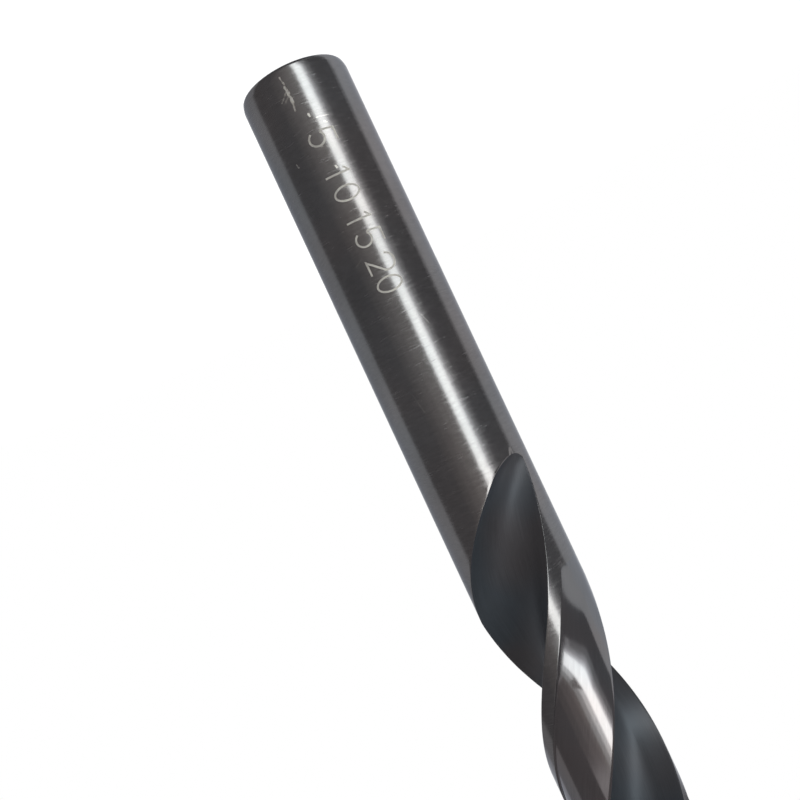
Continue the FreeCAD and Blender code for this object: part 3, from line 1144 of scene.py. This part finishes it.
@dataclass
class ScaleFigures:
    """Row of plain numbers etched along the shank, each figure one stroke of even width."""

    numbers: tuple[str, ...] = ("5", "10", "15", "20")
    first: float = 9.6
    pitch: float = 5.8
    figure_width: float = 1.95
    figure_height: float = 3.2
    figure_gap: float = 0.6
    middle: float = VIEW_AZIMUTH - 1.1
    stroke: float = 0.23
    inner: float = 6.9
    outer: float = 6.937
    grain: float = 0.22
    grain_rounds: int = 4
    merge: float = 0.01
    finish: EtchedSteel = field(default_factory=EtchedSteel)

    @staticmethod
    def arc(centre: Point, radii: Point, start: float, end: float, steps: int) -> list[Point]:
        """Points along an elliptical arc.

        Args:
            centre: Its centre.
            radii: Half of its width and half of its height.
            start: Angle of its first point, in degrees.
            end: Angle of its last point.
            steps: How many pieces it has.

        Returns:
            Its points.
        """
        angles = [math.radians(start + (end - start) * step / steps) for step in range(steps + 1)]
        return [
            (centre[0] + radii[0] * math.cos(angle), centre[1] + radii[1] * math.sin(angle))
            for angle in angles
        ]

    def path(self, figure: str) -> list[Point]:
        """Stroke of a figure in a box of width 1 and height 1.

        Args:
            figure: Which of the figures 0, 1, 2 and 5 it is.

        Returns:
            Its points, from the lower left corner of the box.
        """
        if figure == "0":
            return self.arc((0.5, 0.5), (0.5, 0.5), 90.0, 450.0, 40)
        if figure == "1":
            return [(0.22, 0.78), (0.62, 1.0), (0.62, 0.0)]
        if figure == "2":
            return self.arc((0.5, 0.72), (0.46, 0.28), 172.0, -28.0, 22) + [(0.02, 0.0), (1.0, 0.0)]
        flag = [(0.92, 1.0), (0.2, 1.0), (0.12, 0.54)]
        return flag + self.arc((0.48, 0.33), (0.5, 0.33), 132.0, -148.0, 26)

    def strokes(self) -> list[list[Point]]:
        """Strokes of all figures.

        Returns:
            One list of points to a stroke, each as its distance along the shank and its
            distance across it from the middle.
        """
        strokes = []
        step = self.figure_width + self.figure_gap
        for index, number in enumerate(self.numbers):
            left = self.first + self.pitch * index - (step * len(number) - self.figure_gap) / 2
            for place, figure in enumerate(number):
                corner = left + step * place
                stroke = [
                    (corner + x * self.figure_width, (y - 0.5) * self.figure_height)
                    for x, y in self.path(figure)
                ]
                strokes.append(stroke)
        return strokes

    def wall(self, stroke: list[Point]) -> bpy.types.Mesh:
        """Low wall along a stroke, given its width and bent round the shank.

        Args:
            stroke: Points of the stroke, along the shank and across it.

        Returns:
            The wall as a closed mesh of its own, whose faces point outwards.
        """
        bm = bmesh.new()
        verts = [bm.verts.new((x, y, 0.0)) for x, y in stroke]
        for pair in zip(verts, verts[1:]):
            bm.edges.new(pair)
        bmesh.ops.remove_doubles(bm, verts=bm.verts, dist=self.merge)
        for _ in range(self.grain_rounds):
            long = [edge for edge in bm.edges if edge.calc_length() > self.grain]
            if long:
                bmesh.ops.subdivide_edges(bm, edges=long, cuts=1)
        raised = bmesh.ops.extrude_edge_only(bm, edges=bm.edges)
        tops = [item for item in raised["geom"] if isinstance(item, bmesh.types.BMVert)]
        bmesh.ops.translate(bm, verts=tops, vec=Vector((0.0, 0.0, self.outer - self.inner)))
        bmesh.ops.recalc_face_normals(bm, faces=bm.faces)
        bmesh.ops.solidify(bm, geom=bm.faces, thickness=self.stroke)
        for vert in bm.verts:
            angle = math.radians(self.middle) - vert.co.y / self.outer
            x, y = polar(self.inner + vert.co.z, angle)
            vert.co = Vector((x, y, vert.co.x)) * MM
        bmesh.ops.recalc_face_normals(bm, faces=bm.faces)
        if bm.calc_volume(signed=True) < 0:
            bmesh.ops.reverse_faces(bm, faces=bm.faces)
        mesh = bpy.data.meshes.new("figure")
        bm.to_mesh(mesh)
        bm.free()
        return mesh

    def build(self) -> bpy.types.Object:
        """Build all figures as one piece.

        Returns:
            The figures, which stand a hair proud of the shank.
        """
        bm = bmesh.new()
        for stroke in self.strokes():
            mesh = self.wall(stroke)
            bm.from_mesh(mesh)
            bpy.data.meshes.remove(mesh)
        figures = new_object("scale_figures", bm, smooth=False)
        figures.data.materials.append(self.finish.material())
        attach(figures, BODY)
        return figures


@dataclass(frozen=True)
class Card:
    """Upright studio card, curved round the drill, with a glow of which 1 is white.

    Its two sides stand at bearings in degrees to the camera's right.
    """

    name: str
    left: float
    right: float
    glow: float
    tint: Colour = (1.0, 1.0, 1.0)
    bottom: float = -0.44
    top: float = 0.7
    radius: float = 0.3


@dataclass(frozen=True)
class Lid:
    """Level round studio card that closes the ring of cards above or below the drill."""

    name: str
    height: float
    radius: float
    glow: float = 0.2
    tint: Colour = (1.0, 0.97, 0.98)


@dataclass
class Studio:
    """Pale floor, white surroundings, and a ring of cards that the steel mirrors."""

    cards: tuple[Card, ...] = (
        Card("left_side", -165.0, -95.0, 0.7, (0.95, 0.98, 1.0), top=0.15),
        Card("left_wing", -130.0, -95.0, 0.5, bottom=0.15),
        Card("left_flag", -95.0, -41.0, 0.17, (1.0, 0.95, 0.97)),
        Card("dusk_card", -41.0, -28.0, 0.25, (1.0, 0.93, 0.90), top=0.22),
        Card("half_card", -28.0, -14.0, 0.36, (1.0, 0.92, 0.88), top=0.22),
        Card("warm_card", -14.0, 12.0, 0.5, (1.0, 0.93, 0.87), top=0.22),
        Card("glow_end", -6.0, 3.0, 1.2, (0.97, 1.0, 0.97), 0.165, STRIP_TOP, 0.298),
        Card("glow_card", 3.0, 12.0, 2.6, (0.97, 1.0, 0.97), 0.165, STRIP_TOP, 0.298),
        Card("strip", 12.0, 29.0, 6.2, (0.97, 1.0, 0.96), top=STRIP_TOP),
        Card("strip_edge", 29.0, 33.0, 2.6, top=STRIP_TOP),
        Card("strip_spill", 33.0, 38.0, 1.2, top=STRIP_TOP),
        Card("spill_end", 38.0, 46.0, 0.5, top=0.21),
        Card("right_flag", 46.0, 78.0, 0.18, (1.0, 0.97, 1.0)),
        Card("right_end", 78.0, 95.0, 0.18, (1.0, 0.97, 1.0), top=0.14),
        Card("land_card", 78.0, 100.0, 1.0, (1.0, 0.97, 0.94), bottom=0.14),
        Card("upper_flag", -41.0, 46.0, 0.17, (1.0, 0.96, 0.98), bottom=STRIP_TOP),
    )
    card_steps: int = 16
    lids: tuple[Lid, ...] = (Lid("ceiling", 0.7, 1.2), Lid("lower_flag", -0.44, 0.31))
    lid_segments: int = 48
    floor_height: float = -0.45
    floor_radius: float = 3.0
    floor_segments: int = 96
    floor_dark: Colour = (0.78, 0.78, 0.78)
    floor_light: Colour = (0.82, 0.82, 0.82)
    floor_lumps: Triple = (40.0, 40.0, 40.0)
    floor_roughness: float = 0.8
    floor_glow: float = 0.4
    surround: Colour = (1.0, 1.0, 1.0)
    fill: float = 0.8
    lamp_place: Triple = (0.7, -0.9, 1.0)
    lamp_size: float = 0.8
    lamp_power: float = 6.0

    def build(self) -> None:
        """Build the floor, the cards and the surroundings."""
        self.build_floor()
        for card in self.cards:
            self.build_card(card)
        for lid in self.lids:
            self.build_lid(lid)
        self.build_lamp()
        self.build_world()

    @staticmethod
    def disc(name: str, height: float, radius: float, segments: int) -> bpy.types.Object:
        """Level round sheet about the drill's axis.

        Args:
            name: Its name.
            height: Its height.
            radius: Its radius.
            segments: How many sides it has.

        Returns:
            The new object.
        """
        bm = bmesh.new()
        bmesh.ops.create_circle(bm, cap_ends=True, segments=segments, radius=radius)
        bmesh.ops.translate(bm, verts=bm.verts, vec=Vector((0.0, 0.0, height)))
        return new_object(name, bm, smooth=False)

    def build_floor(self) -> None:
        """Pale round floor well below the drill, white to the camera and to mirroring steel."""
        floor = self.disc("floor", self.floor_height, self.floor_radius, self.floor_segments)
        graph = Graph.of_material("pale_floor")
        grain = graph.lumps(self.floor_lumps, 2.0)
        graph.dress(
            {
                "Base Color": graph.mix(grain, self.floor_dark, self.floor_light),
                "Roughness": self.floor_roughness,
                "Emission Color": (1.0, 1.0, 1.0),
                "Emission Strength": graph.math("MULTIPLY", graph.seen(), self.floor_glow),
            }
        )
        floor.data.materials.append(graph.owner)

    def build_card(self, card: Card) -> None:
        """Build an upright edge spun round the drill's axis.

        Args:
            card: Where the card stands and how it glows.
        """
        bm = bmesh.new()
        start, end = (math.radians(VIEW_AZIMUTH - bearing) for bearing in (card.left, card.right))
        x, y = polar(card.radius, start)
        low, high = (bm.verts.new((x, y, z)) for z in (card.bottom, card.top))
        upright = bm.edges.new((low, high))
        bmesh.ops.spin(
            bm,
            geom=[low, high, upright],
            cent=(0.0, 0.0, 0.0),
            axis=(0.0, 0.0, 1.0),
            angle=end - start,
            steps=self.card_steps,
            use_duplicate=False,
        )
        self.glowing(new_object(card.name, bm), card.glow, card.tint)

    def build_lid(self, lid: Lid) -> None:
        """Build a round card that closes the ring above or below."""
        card = self.disc(lid.name, lid.height, lid.radius, self.lid_segments)
        self.glowing(card, lid.glow, lid.tint)

    @staticmethod
    def glowing(card: bpy.types.Object, glow: float, tint: Colour) -> None:
        """Give a card its glow, which only mirroring surfaces see.

        Args:
            card: The card.
            glow: Brightness, where 1 is white.
            tint: Its colour.
        """
        graph = Graph.of_material(card.name)
        graph.dress(
            {
                "Base Color": (0.0, 0.0, 0.0),
                "Specular IOR Level": 0.0,
                "Emission Color": tint,
                "Emission Strength": glow,
            }
        )
        card.data.materials.append(graph.owner)
        card.visible_camera = False
        card.visible_diffuse = False
        card.visible_shadow = False

    def build_lamp(self) -> None:
        """Soft lamp, for the figures and the floor's shadow; the steel doesn't mirror it."""
        light = bpy.data.lights.new("soft_lamp", "AREA")
        light.shape = "DISK"
        light.size = self.lamp_size
        light.energy = self.lamp_power
        lamp = bpy.data.objects.new("soft_lamp", light)
        lamp.location = self.lamp_place
        lamp.rotation_euler = (-Vector(self.lamp_place)).to_track_quat("-Z", "Y").to_euler()
        lamp.visible_glossy = False
        bpy.context.scene.collection.objects.link(lamp)

    def build_world(self) -> None:
        """White surroundings that light the drill no more than a pale room does."""
        world = bpy.data.worlds.new("surroundings")
        graph = Graph(world, "Background")
        strength = graph.span(graph.seen(), 0.0, 1.0, self.fill, 1.0)
        graph.dress({"Color": self.surround, "Strength": strength})
        bpy.context.scene.world = world


@dataclass(frozen=True)
class PhotoCamera:
    """Camera close in front of the shank, nearly upside down, as the photograph was taken."""

    lens: float = 39.375
    sensor: float = 36.0
    clip_start: float = 0.001
    ahead: Triple = (0.8318, -0.5551, 0.0)
    aside: Triple = (0.5551, 0.8318, 0.0)
    position: Triple = (106.90, 4.46, 43.66)
    right: Triple = (-0.01167, -0.90619, 0.42270)
    down: Triple = (-0.02501, 0.42286, 0.90585)
    forward: Triple = (-0.99962, 0.0, -0.02760)

    def world(self, parts: Triple) -> Vector:
        """Vector given by its parts ahead of the drill, aside of it and up."""
        across = Vector(self.ahead) * parts[0] + Vector(self.aside) * parts[1]
        return across + Vector((0.0, 0.0, parts[2]))

    def build(self) -> None:
        """Set the scene's camera."""
        data = bpy.data.cameras.new("camera")
        data.lens = self.lens
        data.sensor_width = self.sensor
        data.clip_start = self.clip_start
        camera = bpy.data.objects.new("camera", data)
        bpy.context.scene.collection.objects.link(camera)
        columns = (self.world(self.right), -self.world(self.down), -self.world(self.forward))
        turn = Matrix(columns).transposed().to_4x4()
        camera.matrix_world = Matrix.Translation(self.world(self.position) * MM) @ turn
        bpy.context.scene.camera = camera


def new_object(name: str, bm: bmesh.types.BMesh, smooth: bool = True) -> bpy.types.Object:
    """Object at the origin with the given mesh.

    Args:
        name: Name of the piece.
        bm: Its finished mesh, which this function frees.
        smooth: Whether its faces are shaded as one smooth surface.

    Returns:
        The new object, linked to the scene.
    """
    mesh = bpy.data.meshes.new(name)
    bm.to_mesh(mesh)
    bm.free()
    mesh.polygons.foreach_set("use_smooth", [smooth] * len(mesh.polygons))
    piece = bpy.data.objects.new(name, mesh)
    bpy.context.scene.collection.objects.link(piece)
    return piece


def main() -> None:
    """Build and dress the drill, and light it for the camera."""
    logging.basicConfig(level=logging.INFO, format="%(name)s: %(message)s")
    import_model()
    for piece in (TwistDrill().build(), ScaleFigures().build()):
        LOG.info("%s: %d faces", piece.name, len(piece.data.polygons))
    Studio().build()
    PhotoCamera().build()
    bpy.context.scene.view_settings.view_transform = "Standard"


if __name__ == "__main__":
    main()
